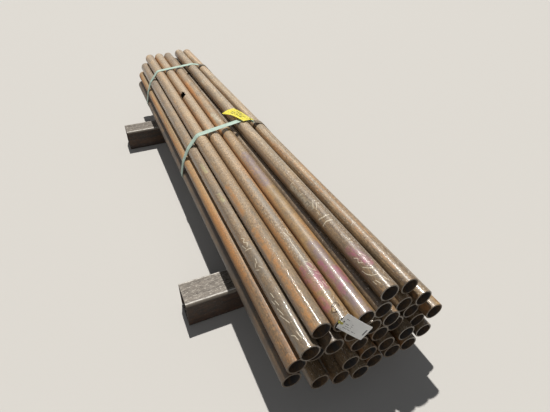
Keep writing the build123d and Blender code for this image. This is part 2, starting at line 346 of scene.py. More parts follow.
# How each pipe differs: bands are (paint, amount, width, strokes); strokes are u, v, u, v in
# millimetres round the pipe from its top, to the right positive, and along it from the front
pipeLooks = {
    "pipe_top_1": {
        "seed": 1.3, "dust": 0.6, "streak": 0.2, "orange": 0.48, "grey": 0.44, "gloss": 1.0,
        "coat": 0.1, "matt": 0.15, "ripple": 0.6,
        "bands": [
            ("orange", 0.95, 15, [(-25, -10, -24, 250), (-22, 260, -26, 420), (-27, 520, -25, 700)]),
            ("scale", 0.6, 12, [(10, -5, 12, 240), (12, 300, 9, 520)]),
        ],
    },
    "pipe_top_2": {
        "seed": 2.9, "sootAndShade": 1.658, "streak": 0.2, "orange": 0.54, "grey": 0.34, "gloss": 0.9,
        "bands": [
            ("gold", 0.7, 16, [(-14, 40, -12, 150), (20, -5, 19, 120)]),
            ("grey", 0.75, 14, [(2, 90, 0, 330), (4, 420, 2, 700)]),
            # dark ring by the torch hole: burn mark, widened as painted shade of the hole
            ("dark", 0.9, 22, [(-28, 1640, -26, 1676)]),
            ("pink", 0.85, 16, [(9, 205, 16, 160), (5, 160, 9, 112), (-30, 82, -27, 50)]),
            ("pink", 0.6, 18, [(-20, 200, -31, 165), (-22, 150, -16, 120)]),
        ],
        "chalk": [
            (1, 386, 12, 374), (12, 374, 6, 358), (6, 358, 16, 344), (-4, 366, 2, 336), (2, 336, -1, 318),
            (-3, 222, 6, 216), (6, 216, 13, 206), (13, 206, 11, 192), (-4, 204, 2, 186), (2, 186, 12, 176),
            (6, 168, 15, 160), (-4, 138, 3, 126), (3, 126, 1, 112), (9, 132, 12, 112), (-2, 320, 0, 232, 1.6),
        ],
    },
    "pipe_top_3": {
        "seed": 4.1, "streak": 0.3, "orange": 0.52, "grey": 0.48, "dark": 0.12, "dust": 0.35, "gloss": 1.0,
        "coat": 0.14,
        "bands": [
            ("gold", 0.55, 24, [(-18, 330, -16, 620), (10, 420, 8, 640)]),
            ("gold", 0.9, 14, [(27, -5, 25, 380), (-38, 10, -36, 330)]),
            ("violet", 0.9, 26, [(-8, -5, -6, 290), (-6, 660, -4, 900)]),
            ("pink", 0.75, 17, [(-24, 215, -22, 140), (8, 175, 14, 118), (-20, 110, -26, 90)]),
            ("smear", 0.75, 15, [(-14, 1345, -6, 1250)]),
        ],
    },
    "pipe_top_4": {
        "seed": 5.7, "streak": 0.7, "orange": 0.42, "grey": 0.52, "gloss": 0.7, "coat": 0.18,
        "bands": [
            ("pink", 0.85, 18, [(-26, 172, -16, 138), (-14, 138, -5, 100)]),
            ("violet", 0.5, 18, [(-8, 180, 0, 120)]),
            ("smear", 0.5, 9, [(-24, 1765, -22, 1700)]),
            ("smear", 0.42, 13, [(-34, 554, -31, 516), (-32, 498, -26, 406), (-40, 446, -36, 412)]),
            ("dark", 0.9, 2.6, [
                (-27, 541, -29, 526), (-43, 484, -28, 480), (-34, 443, -23, 438), (-23, 438, -24, 422),
                (-24, 422, -39, 428), (-36, 409, -23, 402), (-37, 511, -40, 489), (-30, 466, -36, 455),
            ]),
        ],
        "chalk": [
            (-30, 563, -16, 562), (-28, 488, -17, 485), (-6, 430, -24, 396, 1.6), (-2, 412, -18, 382, 1.6),
            (-20, 372, -23, 355, 1.6), (-34, 344, -16, 337, 2.8), (-16, 337, 3, 336, 2.8),
            (-38, 314, -20, 315, 2.8), (-20, 315, 0, 308, 2.8), (-4, 557, 7, 550), (-6, 138, 1, 124),
            (-30, 140, -22, 130), (-22, 130, -29, 119), (-29, 119, -20, 109), (-37, 92, -33, 74),
            (-33, 74, -25, 60), (-25, 60, -13, 52), (-28, 98, -18, 84), (-18, 84, -6, 76), (-33, 44, -30, 30),
            (-24, 40, -20, 24), (-12, 36, -7, 19), (-1, 38, 2, 24),
        ],
    },
    "pipe_top_5": {
        "seed": 6.2, "streak": 1.1, "orange": 0.5, "grey": 0.5, "gloss": 0.3,
        "bands": [("orange", 0.6, 5, [(-14, 60, -12, 900), (4, 200, 6, 700)])],
    },
    "pipe_second_1": {
        "seed": 7.4, "streak": 0.4, "dark": 0.28, "dust": 0.45, "orange": 0.34, "grey": 0.56, "gloss": 1.0,
        "coat": 0.07, "matt": 0.15,
        "bands": [
            ("scale", 0.6, 24, [(-16, -5, -14, 420)]),
            ("lime", 0.55, 9, [(-14, 985, -10, 910), (-12, 740, -8, 690)]),
        ],
        "chalk": [
            (-20, 470, -12, 458), (-12, 458, -20, 446), (-20, 446, -10, 434), (-10, 434, -16, 420),
            (-30, 440, -24, 416), (-30, 412, -6, 404), (-12, 354, -15, 336), (-20, 340, -26, 326),
            (-14, 322, -8, 310), (-30, 318, -20, 308), (-24, 211, -22, 191), (-34, 190, -30, 172),
            (-24, 180, -20, 160), (-33, 132, -19, 92), (-30, 156, -23, 125), (-34, 62, -24, 52),
            (-24, 52, -20, 36), (-14, 60, -10, 34),
        ],
    },
    # pipe_second_2 is darkened, most on its top by the mouth: painted shadow
    "pipe_second_2": {
        "seed": 2.2, "orange": 0.4, "dark": 0.85, "dust": 0.0, "gloss": 0.1,
        "bands": [("dark", 0.95, 24, [(-16, -10, -8, 170)])],
    },
    # pipe_fourth_1 is darkened all over, without the crest film: painted shadow
    "pipe_fourth_1": {"seed": 5.2, "orange": 0.52, "grey": 0.4, "gloss": 0.1, "dark": 1.0, "dust": 0.0},
    "pipe_second_4": {"seed": 9.9, "orange": 0.3, "grey": 0.45, "dark": 0.75},
    "pipe_third_1": {
        "seed": 8.8, "orange": 0.62, "grey": 0.26, "gloss": 0.25, "coat": 0.2, "dark": 0.22, "dust": 0.3,
        "bands": [
            ("dark", 0.35, 26, [(-20, -5, -16, 320), (10, -5, 12, 260)]),
            ("gold", 0.6, 22, [(-8, 700, -6, 2430), (12, 1200, 10, 2430)]),
        ],
    },
    "pipe_third_2": {"seed": 3.3, "orange": 0.45, "grey": 0.4, "dark": 0.25},
}


# The frame at origin with these three axes
def axesAt(origin, x, y, z):
    return Matrix.Translation(origin) @ Matrix((x, y, z)).transposed().to_4x4()


# The pipe's own frame and its length, read off the CAD node's ends
def pipeFrame(node):
    points = np.array([node.matrix_world @ v.co for v in node.data.vertices])
    first, last = points[:, 1].min(), points[:, 1].max()
    front = points[points[:, 1] < first + pipeSize["endDepth"]].mean(axis=0)
    rear = points[points[:, 1] > last - pipeSize["endDepth"]].mean(axis=0)
    front, rear = Vector(front), Vector(rear)
    along = (rear - front).normalized()
    side = along.cross(Vector((0, 0, 1))).normalized()
    return axesAt(front, side, along, side.cross(along)), (rear - front).length


def circle(count):
    return [2 * pi * k / count for k in range(count)]


# Faces between rows of points, each a closed ring; open rows are capped at both ends
def ringFaces(rows, size, closed=True):
    faces = []
    for r in range(rows if closed else rows - 1):
        for k in range(size):
            s, n = (r + 1) % rows, (k + 1) % size
            faces.append((r * size + k, r * size + n, s * size + n, s * size + k))
    if not closed:
        faces += [tuple(range(size)), tuple(range((rows - 1) * size, rows * size))[::-1]]
    return faces


def finishMesh(mesh, angle=40):
    bm = bmesh.new()
    bm.from_mesh(mesh)
    bmesh.ops.recalc_face_normals(bm, faces=bm.faces)
    bm.to_mesh(mesh)
    bm.free()
    mesh.shade_smooth()
    mesh.set_sharp_from_angle(angle=radians(angle))


# A mesh sharp over the angle; runs are a flat place for each point, if it has them
def newMesh(verts, faces, angle=40, runs=None):
    mesh = bpy.data.meshes.new("mesh")
    mesh.from_pydata(verts, [], faces)
    if runs:
        layer = mesh.uv_layers.new(name="run")
        for loop in mesh.loops:
            layer.data[loop.index].uv = runs[loop.vertex_index]
    finishMesh(mesh, angle)
    return mesh


def addObject(name, data, material=None):
    data.name = name
    obj = bpy.data.objects.new(name, data)
    bpy.context.scene.collection.objects.link(obj)
    if material:
        data.materials.append(material)
    return obj


def bakedMesh(obj):
    return bpy.data.meshes.new_from_object(obj.evaluated_get(bpy.context.evaluated_depsgraph_get()))


def seat(piece, node):
    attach(piece, "root")
    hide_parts(node)


# A tube with softened ends, each cut a little out of square
def pipeMesh(length, seed, stops):
    size = pipeSize
    rng = random.Random(seed)
    outer, inner, hold = size["outer"], size["inner"], size["hold"]
    ob, ib = size["outerBevel"], size["innerBevel"]
    slant = [rng.uniform(-size["slant"], size["slant"]) for _ in range(4)]
    turn = [rng.uniform(0, 6.28) for _ in range(4)]
    profile = [(inner, length - ib), (inner, length - ib - hold), (inner, ib + hold), (inner, ib)]
    profile += [(inner + ib, 0.0), (outer - ob, 0.0)]
    profile += [(outer, y) for y in (ob, ob + hold, *sorted(stops), length - ob - hold, length - ob)]
    profile += [(outer - ob, length), (inner + ib, length)]
    verts = []
    for radius, y in profile:
        end = 0 if y < size["endDepth"] else 2
        cutEnd = min(y, length - y) < size["endDepth"]
        for a in circle(size["segments"]):
            wave = slant[end] * sin(a + turn[end]) + slant[end + 1] / 2 * sin(3 * a + turn[end + 1])
            verts.append((radius * sin(a), y + wave * cutEnd, radius * cos(a)))
    return newMesh(verts, ringFaces(len(profile), size["segments"]))


torchHole = {
    "seed": 31, "along": 1.658, "lean": 50.0, "radius": 0.019, "stretch": 1.7, "rough": 0.0018,
    "lobe": 0.0022, "segments": 48, "levels": ((0.012, 0.93), (0.045, 1.0)),
    "stops": (-0.05, -0.02, 0.02, 0.05),
}


# Cuts the ragged torch hole through the pipe's upper left wall
def burnHole(pipe):
    look = torchHole
    rng = random.Random(look["seed"])
    lean = radians(look["lean"])
    outward = Vector((-sin(lean), 0, cos(lean)))
    side = Vector((cos(lean), 0, sin(lean)))
    angles = circle(look["segments"])
    radii = []
    for a in angles:
        lobes = sin(4 * a - 1.4) + 0.6 * sin(7 * a)
        radii.append(look["radius"] + look["lobe"] * lobes + rng.uniform(-1, 1) * look["rough"])
    verts = []
    for level, share in look["levels"]:
        for k, a in enumerate(angles):
            r = (radii[k] + radii[k - 1]) / 2 * share
            along = look["along"] + r * look["stretch"] * sin(a)
            verts.append(outward * level + side * r * cos(a) + Vector((0, along, 0)))
    cutter = addObject("torchCutter", newMesh(verts, ringFaces(2, look["segments"], False)))
    cutter.matrix_world = pipe.matrix_world
    cut = pipe.modifiers.new("hole", "BOOLEAN")
    cut.object = cutter
    cut.solver = "EXACT"
    bpy.context.view_layer.update()
    done = bakedMesh(pipe)
    pipe.modifiers.remove(cut)
    pipe.data = done
    bpy.data.objects.remove(cutter)
    finishMesh(done)


# A few patches of scale and fresh rust at chance places round and along a pipe
def chancePatches(rng):
    patches = []
    for kind in rng.sample(["orange", "scale", "grey", "gold"], 2):
        lines = []
        for _ in range(3):
            u, v = rng.uniform(-90, 90), rng.uniform(0, 2100)
            lines.append((u, v, u + rng.uniform(-6, 6), v + rng.uniform(80, 420)))
        patches.append((kind, rng.uniform(0.45, 0.8), rng.uniform(10, 22), lines))
    return patches


pipeObjects = {}
for index, name in enumerate(sorted(n for n in nodes if n.startswith("pipe_"))):
    rng = random.Random(100 + index)
    look = {
        "seed": 10 + index * 1.7, "orange": rng.uniform(0.34, 0.66), "grey": rng.uniform(0.25, 0.7),
        "dark": rng.uniform(0.0, 0.25), "gloss": rng.uniform(0.2, 0.7), "streak": rng.uniform(0.2, 0.8),
        "dust": 1.0, "matt": 0.0, "coat": 0.16, "ripple": 0.5,
    }
    look.update(pipeLooks.get(name) or {"bands": chancePatches(rng)})
    place, length = pipeFrame(nodes[name])
    stops = list(pipeSize["stops"])
    if name == "pipe_top_2":
        stops += [torchHole["along"] + step for step in torchHole["stops"]]
    mesh = pipeMesh(length, 200 + index, stops)
    pipe = addObject("steel_" + name, mesh, pipeMaterial("rust_" + name, look))
    pipe.matrix_world = place
    if name == "pipe_top_2":
        burnHole(pipe)
    seat(pipe, name)
    pipeObjects[name] = pipe
print("stage: pipes", len(pipeObjects))


# A Catmull-Rom line through the points
def smoothPath(points, steps=8):
    points = [Vector(p) for p in points]
    ends = [points[0] * 2 - points[1]] + points + [points[-1] * 2 - points[-2]]
    line = []
    for k in range(1, len(ends) - 2):
        a, b, c, d = ends[k - 1 : k + 3]
        for s in range(steps):
            u = s / steps
            square = (2 * a - 5 * b + 4 * c - d) * u * u
            cube = (3 * b - a - 3 * c + d) * u**3
            line.append(0.5 * (2 * b + (c - a) * u + square + cube))
    return line + [points[-1]]


# A round wire along a line of points, in place of the node, which is hidden
def addWire(name, line, radius, material, node, closed=False):
    data = bpy.data.curves.new(name, "CURVE")
    data.dimensions = "3D"
    data.bevel_depth = radius
    data.bevel_resolution = 3
    data.use_fill_caps = True
    spline = data.splines.new("POLY")
    spline.points.add(len(line) - 1)
    for point, place in zip(spline.points, line):
        point.co = (*place, 1)
    spline.use_cyclic_u = closed
    curve = addObject(name, data)
    mesh = bakedMesh(curve)
    bpy.data.objects.remove(curve)
    finishMesh(mesh)
    seat(addObject(name, mesh, material), node)


# Matching points of a rounded rectangle and of a round hole in it, seen from the hole
def tagRings(look, holeAt):
    outline, hole = [], []
    corner, radius = look["corner"], look["hole"]
    long, wide = look["length"] / 2, look["width"] / 2
    for a in circle(look["segments"]):
        dx, dy = cos(a), sin(a)
        hole.append((holeAt[0] + radius * dx, holeAt[1] + radius * dy))
        reach = []
        for step, limit, start in ((dx, long, holeAt[0]), (dy, wide, holeAt[1])):
            if abs(step) > 1e-9:
                reach.append((copysign(limit, step) - start) / step)
        x, y = holeAt[0] + dx * min(reach), holeAt[1] + dy * min(reach)
        cx, cy = long - corner, wide - corner
        over = Vector((abs(x) - cx, abs(y) - cy))
        if over.x > 0 and over.y > 0 and over.length > corner:
            over = over.normalized() * corner
            x, y = copysign(cx + over.x, x), copysign(cy + over.y, y)
        outline.append((x, y))
    return outline, hole


# A closed thin sheet with rounded corners and a hole, lifted by a formula
def sheetMesh(look, holeAt, lift):
    outline, hole = tagRings(look, holeAt)
    levels = [r / (look["rings"] - 1) for r in range(look["rings"])]
    verts = []
    for side, shares in ((1, levels), (-1, levels[::-1])):
        for share in shares:
            for inner, outer in zip(hole, outline):
                x = inner[0] + (outer[0] - inner[0]) * share
                y = inner[1] + (outer[1] - inner[1]) * share
                verts.append((x, y, lift(x, y) + side * look["thickness"] / 2))
    return newMesh(verts, ringFaces(2 * look["rings"], look["segments"]), 50)


def addSheet(look, mesh, place, node):
    sheet = addObject(look["name"], mesh, printedMaterial(look))
    sheet.matrix_world = place
    seat(sheet, node)


def planeMatrix(origin, run, face):
    z = Vector(face).normalized()
    x = (Vector(run) - z * Vector(run).dot(z)).normalized()
    return axesAt(origin, x, z.cross(x), z)


# Steel straps: bands round the whole pack, pulled straight from pipe to pipe
strapLook = {
    "width": 0.03175, "thickness": 0.0011, "gap": 0.0006, "wave": 0.0011, "twist": 0.01, "roll": 0.0008,
    "step": 0.004, "worn": (-0.07, 0.87), "wander": 0.012, "round": 180, "waves": (9.1, 23.7),
    "twists": 15.0,
}
strapColors = {
    "paint": (0.48, 0.63, 0.545), "worn": (0.37, 0.49, 0.42), "bare": (0.12, 0.095, 0.075),
    "chip": (0.62, 0.67, 0.63), "rust": (0.225, 0.155, 0.09),
}


def strapMaterial():
    look = strapColors
    material, surface, place = newMaterial("greenStrap")
    run = pick(put(place.tree, "ShaderNodeUVMap"))  # metres along the strap and across it
    scratch = noise(run, (14, 900, 0), 4, 0.6)
    cloud = noise(place, (45, 45, 45), 5, 0.6)
    fleck = noise(place, (420, 420, 420), 3, 0.7)
    wander = (cloud - 0.5) * strapLook["wander"]
    color = blend(span(cloud, 0.35, 0.65), look["worn"], look["paint"])
    color = blend(span(scratch, 0.6, 0.7) * 0.5, color, look["chip"])
    edge = span(abs(split(run)[1]) + wander, 0.0138, 0.0158)
    wear = most(edge * span(fleck, 0.35, 0.6), span(fleck, 0.66, 0.74), span(scratch, 0.36, 0.3) * 0.7)
    color = blend(wear * 0.75, color, look["bare"])
    # over the outer right pipe the paint has gone
    first, last = (pipeCentre("pipe_top_5", y) for y in strapLook["worn"])
    lean = (last.x - first.x) / (last.y - first.y)
    x, y, z = split(place)
    off = x - first.x - (y - first.y) * lean + wander
    gone = span(off, -0.026, -0.02) * span(z, first.z - 0.005, first.z + 0.005)
    gone = gone * span(fleck, 0.62, 0.56, 0.4, 1.0)
    color = blend(gone, color, blend(span(fleck, 0.35, 0.65), look["rust"], look["bare"]))
    relief = bump(scratch + fleck, 0.3, 0.0003)
    feed(surface, Base_Color=color, Roughness=0.42 + cloud * 0.25, Normal=relief)
    return material


def pipeAxis(name):
    place = pipeObjects[name].matrix_world
    return place.translation, (place.to_3x3() @ Vector((0, 1, 0))).normalized()


def pipeCentre(name, y):
    start, along = pipeAxis(name)
    return start + along * ((y - start.y) / along.y)


# The tight line round all the pipes at y, as evenly spaced points, and its length
def hullPath(y, reach):
    spots = []
    for name in pipeObjects:
        centre = pipeCentre(name, y)
        for a in circle(strapLook["round"]):
            spots.append((centre.x + reach * cos(a), centre.z + reach * sin(a)))
    spots = sorted(set(spots))

    def half(points):
        chain = []
        for p in points:
            while len(chain) > 1:
                (ax, az), (bx, bz) = chain[-2], chain[-1]
                if (bx - ax) * (p[1] - az) - (bz - az) * (p[0] - ax) > 0:
                    break
                chain.pop()
            chain.append(p)
        return chain[:-1]

    hull = [Vector(p) for p in half(spots) + half(spots[::-1])]
    lengths = [(hull[k] - hull[k - 1]).length for k in range(len(hull))]
    total = sum(lengths)
    count = int(total / strapLook["step"])
    line, k, passed = [], 0, 0.0
    for c in range(count):
        want = total * c / count
        while passed + lengths[(k + 1) % len(hull)] < want:
            k += 1
            passed += lengths[k % len(hull)]
        a, b = hull[k % len(hull)], hull[(k + 1) % len(hull)]
        line.append(a.lerp(b, (want - passed) / (b - a).length))
    return line, total


# A flat band on its edge-on line, with rolled edges and a slight wander along Y
def bandMesh(line, total, y, closed=True, raised=0.0, wave=1.0):
    look = strapLook
    half, t, roll = look["width"] / 2, look["thickness"] / 2, look["roll"]
    section = [(-half, -t * 0.5), (-half + roll, -t), (0, -t), (half - roll, -t), (half, -t * 0.5)]
    section += [(half, t * 0.5), (half - roll, t), (half * 0.5, t * 1.15), (0, t * 1.2)]
    section += [(-half * 0.5, t * 1.15), (-half + roll, t), (-half, t * 0.5)]
    long, short = look["waves"]
    count = len(line)
    verts, runs = [], []
    for k in range(count):
        before = line[k - 1 if closed or k else 0]
        after = line[(k + 1) % count if closed else min(k + 1, count - 1)]
        tangent = (after - before).normalized()
        outward = Vector((tangent.y, -tangent.x))
        s = total * k / count
        drift = look["wave"] * wave * (sin(s * long + y * 3) + 0.5 * sin(s * short))
        twist = look["twist"] * wave * sin(s * look["twists"] + 1.3)
        for w, h in section:
            p = line[k] + outward * (h + raised + w * twist)
            verts.append((p.x, y + w + drift, p.y))
            runs.append((s, w))
    return newMesh(verts, ringFaces(count, len(section), closed), 60, runs)


greenPaint = strapMaterial()
strapLines = {}
for place in ("middle", "rear"):
    low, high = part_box("strap_" + place)
    strapY = (low[1] + high[1]) / 2
    line, total = hullPath(strapY, pipeSize["outer"] + strapLook["gap"] + strapLook["thickness"] / 2)
    strapLines[place] = (line, strapY)
    strap = addObject("band_" + place, bandMesh(line, total, strapY), greenPaint)
    seat(strap, "strap_" + place)
print("stage: straps")

# Seals: folded sleeves crimped on the straps' joints, with the strap's end showing past each
sealLook = {
    "length": 0.044, "thickness": 0.001, "gap": 0.00015, "lip": 0.005, "notch": 0.0024, "tail": 0.052,
    "stations": 45, "crimps": (-0.011, 0.011), "pinch": 0.0022, "bevel": 0.0003, "tailRise": 0.0014,
    "sink": 0.0008, "swell": 0.0004, "rim": 0.9, "crown": 0.1, "tailFrom": 4, "tailPast": 8,
}


def sealMesh(middle, along, outward):
    look = sealLook
    inX = strapLook["width"] / 2 + look["gap"]
    inZ = strapLook["thickness"] / 2 + look["gap"]
    outX, outZ = inX + look["thickness"], inZ + look["thickness"]
    lip = inX - look["lip"]
    profile = [(-lip, -inZ), (-inX, -inZ), (-inX, inZ), (0, inZ), (inX, inZ), (inX, -inZ), (lip, -inZ)]
    profile += [(lip, -outZ), (outX, -outZ), (outX, outZ), (0, outZ), (-outX, outZ), (-outX, -outZ)]
    profile.append((-lip, -outZ))
    across = along.cross(outward)
    verts, runs = [], []
    for s in range(look["stations"]):
        u = (s / (look["stations"] - 1) - 0.5) * look["length"]
        pinch = sum(exp(-(((u - at) / look["pinch"]) ** 2)) for at in look["crimps"])
        for x, z in profile:
            side = abs(x) / outX
            pulled = x * (1 - look["notch"] / outX * pinch * side**4)
            sunk = look["sink"] * pinch * (side > look["rim"]) * (z > 0)
            dropped = z - sunk + look["swell"] * pinch * (side < look["crown"])
            verts.append(middle + along * u + across * pulled + outward * dropped)
            runs.append((s * 0.001, x * 0.9))
    return newMesh(verts, ringFaces(look["stations"], len(profile), False), 35, runs)


for place, (line, strapY) in strapLines.items():
    low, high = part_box("seal_" + place)
    middle = (Vector(low) + Vector(high)) / 2
    near = min(range(len(line)), key=lambda k: (line[k] - Vector((middle.x, middle.z))).length)
    flat = (line[(near + 3) % len(line)] - line[near - 3]).normalized()
    along = Vector((flat.x, 0, flat.y))
    outward = Vector((flat.y, 0, -flat.x))
    centre = Vector((line[near].x, strapY, line[near].y))
    seal = addObject("sleeve_" + place, sealMesh(centre, along, outward), greenPaint)
    bevel = seal.modifiers.new("edge", "BEVEL")
    bevel.width, bevel.segments, bevel.limit_method = sealLook["bevel"], 2, "ANGLE"
    seat(seal, "seal_" + place)
    stop = int(sealLook["tail"] / strapLook["step"]) + sealLook["tailPast"]
    tailLine = [line[(near + k) % len(line)] for k in range(sealLook["tailFrom"], stop)]
    tailLength = strapLook["step"] * len(tailLine)
    tail = bandMesh(tailLine, tailLength, strapY, False, sealLook["tailRise"], 0.0)
    seat(addObject("tail_" + place, tail, greenPaint), "seal_" + place)
print("stage: seals")


# Yellow plastic tag bowed over the raised pipe, printed with plain rows of marks
yellowLook = {
    "name": "yellow_tag", "slot": "tag_plastic", "material": "yellowSheet", "segments": 160, "rings": 22,
    "length": 0.156, "width": 0.068, "corner": 0.003, "thickness": 0.0008, "radius": 0.11, "turn": 20.5,
    "lead": 0.018, "flare": 0.012, "bow": 0.01, "tip": 0.003, "spread": 0.14, "gap": 0.0004,
    "hole": 0.0035, "holeAside": 0.034, "holeBack": 0.0185, "ripple": 0.0009, "ripples": 61,
    "sheet": ((0.86, 0.76, 0.1), (0.78, 0.68, 0.07)), "ink": (0.055, 0.045, 0.012),
    "rows": [(-46, 40, 15, 9), (-52, 52, 0, 9), (-30, 38, -15, 8)],
    "rough": 0.4, "flecks": 0.18, "marks": (150, 34, 0),
}
soilColor = (0.2, 0.15, 0.09)


# Sheet colour with rows of marks and plain bars, each (from x, to x, y, height) in millimetres
def printedMaterial(look):
    material, surface, place = newMaterial(look["material"])
    x, y, _ = split(vec("MULTIPLY", place, (1000, 1000, 0)))

    def box(start, stop, middle, height, soft):
        inX = span(x, start, start + soft) * span(x, stop, stop - soft)
        return inX * span(abs(y - middle), height / 2, height / 2 - 0.3)

    masks = []
    for index, row in enumerate(look["rows"]):
        dashes = noise(vec("ADD", place, (index * 0.37, 0, 0)), look["marks"], 2, 0.4)
        masks.append(box(*row, 0.4) * span(dashes, 0.45, 0.51))
    masks += [box(*bar, 0.3) for bar in look.get("bars", ())]
    cloud = noise(place, (60, 60, 60), 4, 0.6)
    grit = noise(place, (800, 800, 800), 2, 0.6)
    soil = span(noise(place, (140, 140, 140), 5, 0.7), 0.56, 0.72) * look["flecks"]
    color = blend(span(cloud, 0.35, 0.7), *look["sheet"])
    color = blend(most(*masks) * span(upward(place), 0.1, 0.3) * 0.85, color, look["ink"])
    color = blend(soil, color, soilColor)
    feed(
        surface, Base_Color=color, Roughness=look["rough"], Normal=bump(cloud + grit * 0.3, 0.15, 0.0003),
        Subsurface_Weight=1.0, Subsurface_Radius=(1.0, 1.0, 1.0), Subsurface_Scale=0.0015,
        Subsurface_Anisotropy=0.6,
    )
    return material


def yellowTag():
    look = yellowLook
    strapY = strapLines["middle"][1]
    crown = pipeCentre("pipe_top_4", strapY)
    axis = pipeAxis("pipe_top_4")[1]
    top = pipeSize["outer"] + strapLook["gap"] + strapLook["thickness"] + look["gap"]
    bend = crown + Vector((0, 0, top - look["radius"]))
    turn = radians(look["turn"])
    back = look["length"] / 2 * cos(turn) - look["lead"]
    run = Vector((-sin(turn), cos(turn), 0))
    middle = bend + axis * back
    side = axis.cross(Vector((0, 0, 1))).normalized()
    place = planeMatrix(Vector((middle.x, middle.y, middle.z + look["radius"])), run, (0, 0, 1))
    hole = place.inverted() @ Vector((crown.x + look["holeAside"], crown.y + look["holeBack"], middle.z))

    def lift(x, y):
        level = place @ Vector((x, y, 0)) - bend
        off = level.dot(side)
        drop = level.dot(Vector((axis.x, axis.y, 0)))
        height = bend.z + drop * axis.z + sqrt(look["radius"] ** 2 - off**2)
        wave = look["ripple"] * (1 + sin(x * look["ripples"] + 0.6)) * (abs(y) / (look["width"] / 2))
        return height - place.translation.z + look["thickness"] / 2 + wave

    mesh = sheetMesh(look, (hole.x, hole.y), lift)
    for vertex in mesh.vertices:  # the free rear end has opened out
        part = vertex.co.x / look["length"] * 2
        share = max(0.0, part) ** 2
        left = 0.5 + vertex.co.y / look["width"]
        raised = look["flare"] * share * left + look["bow"] * (1 - part**2) * left
        vertex.co.z += raised + look["tip"] * (1 - part) / 2
        vertex.co.y *= 1 + look["spread"] * share
    addSheet(look, mesh, place, "plastic_tag")


clipLook = {
    "base": (0.014, 0.013, 0.012), "dust": (0.085, 0.07, 0.052), "radius": 0.0016, "corner": 0.003,
    "peg": 0.0019, "pegLine": ((0, 0.004, -0.001), (0.001, 0.002, 0.005), (-0.001, 0, 0.013)),
}


def blackClip():
    look = clipLook
    material, surface, place = newMaterial("blackClip")
    dust = span(noise(place, (260, 260, 260), 4, 0.6), 0.45, 0.7, 0.0, 0.5)
    feed(surface, Base_Color=blend(dust, look["base"], look["dust"]), Roughness=0.5)
    low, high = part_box("plastic_tag_clip")
    r, c = look["radius"], look["corner"]
    x = (low[0] + high[0]) / 2
    y0, y1, z0, z1 = low[1] + r, high[1] - r, low[2] + r, high[2] - r
    corners = [(y1, z0, 1, 1), (y1, z1, 1, -1), (y0, z1, -1, -1), (y0, z0, -1, 1)]
    line = []
    for index, (y, z, sy, sz) in enumerate(corners):
        for k in range(7):
            a = radians(-90 + 15 * k + 90 * index)
            line.append((x, y - sy * c + c * cos(a), z + sz * c + c * sin(a)))
    addWire("clip_loop", line, r, material, "plastic_tag_clip", True)
    peg = [(x + dx, y0 + dy, z1 + dz) for dx, dy, dz in look["pegLine"]]
    addWire("clip_peg", smoothPath(peg), look["peg"], material, "plastic_tag_clip")


yellowTag()
blackClip()
print("stage: yellow tag")

# White tag on its wire, hanging before the second pipe's mouth
whiteLook = {
    "name": "white_tag", "slot": "tag_paper", "material": "whiteCard", "segments": 160, "rings": 16,
    "length": 0.076, "width": 0.057, "corner": 0.002, "thickness": 0.0005, "inset": 0.006, "hole": 0.0035,
    "run": (0.689, -0.589, -0.422), "face": (-0.568, -0.801, 0.189), "from": (0.0136, -0.0283, 0.01335),
    "sheet": ((0.9, 0.91, 0.9), (0.86, 0.87, 0.86)), "ink": (0.09, 0.095, 0.11),
    "ripple": 0.0011, "ripples": 40, "curl": 3.6, "curlFrom": 0.012,
    "rows": [
        (-25, 13, -17, 2.6), (-24, -2, -10, 2.2), (-26, -1, -3, 2.6), (-14, -4, 4, 2.2), (-29, -20, 12, 3.0),
    ],
    "bars": [(29.0, 33.0, 0.5, 23)],
    "rough": 0.55, "flecks": 0.12, "marks": (420, 150, 0),
}


def whiteTag():
    look = whiteLook
    mouth = pipeObjects["pipe_top_2"].matrix_world.translation
    place = planeMatrix(mouth + Vector(look["from"]), look["run"], look["face"])
    eyelet = (look["inset"] - look["length"] / 2, 0.0)

    def lift(x, y):
        ripple = look["ripple"] * sin(x * look["ripples"] + 0.5) * (y / (look["width"] / 2))
        return ripple - look["curl"] * max(0.0, x - look["curlFrom"]) ** 2

    addSheet(look, sheetMesh(look, eyelet, lift), place, "paper_tag")
    return place, eyelet


# Two twisted strands, and their ends sprung apart; ends are (degrees, along, above the pipe), and the
# route's points are the same from the bore or the top, or else x, y, z from the tag's eyelet
wireLook = {
    "strand": 0.0009, "apart": 0.00092, "twist": 0.52, "end": 0.0007, "above": 0.0014, "below": 0.0016,
    "route": [
        ("bore", -5, 0.05, 0), ("bore", -9, 0.025, 0), ("bore", -14, 0.004, -0.0004),
        ("bore", -15, -0.0045, 0), ("tag", -0.0022, 0, -0.003), ("tag", -0.0022, 0, 0.003),
        ("tag", -0.008, 0.0005, 0.0022), ("top", -23, 0.003, 0.0006), ("top", -17, 0.014, 0),
        ("top", -15, 0.026, 0.0006), ("top", -15.5, 0.038, 0), ("top", -18, 0.047, 0.0004),
    ],
    "spotColor": (0.13, 0.08, 0.05),
    "bright": {"base": (0.62, 0.6, 0.55), "metal": 0.85, "rough": 0.28},
    "dull": {"base": (0.075, 0.055, 0.042), "metal": 0.5, "rough": 0.5},
    "ends": [
        [
            (-17, 0.046, 0.0012), (-8, 0.049, 0.0035), (0, 0.048, 0.0048), (7, 0.045, 0.004),
            (10.5, 0.04, 0.0022), (10, 0.035, 0.001),
        ],
        [
            (-19, 0.047, 0.0012), (-27, 0.043, 0.0026), (-33, 0.036, 0.0034), (-36, 0.03, 0.0028),
            (-29, 0.0255, 0.002), (-15, 0.023, 0.0016),
        ],
    ],
}


def wireMaterial(kind):
    look = wireLook[kind]
    material, surface, place = newMaterial(kind + "Wire")
    spots = span(noise(place, (600, 600, 600), 3, 0.6), 0.5, 0.68)
    color = blend(spots * 0.6, look["base"], wireLook["spotColor"])
    feed(surface, Base_Color=color, Metallic=look["metal"], Roughness=look["rough"])
    return material


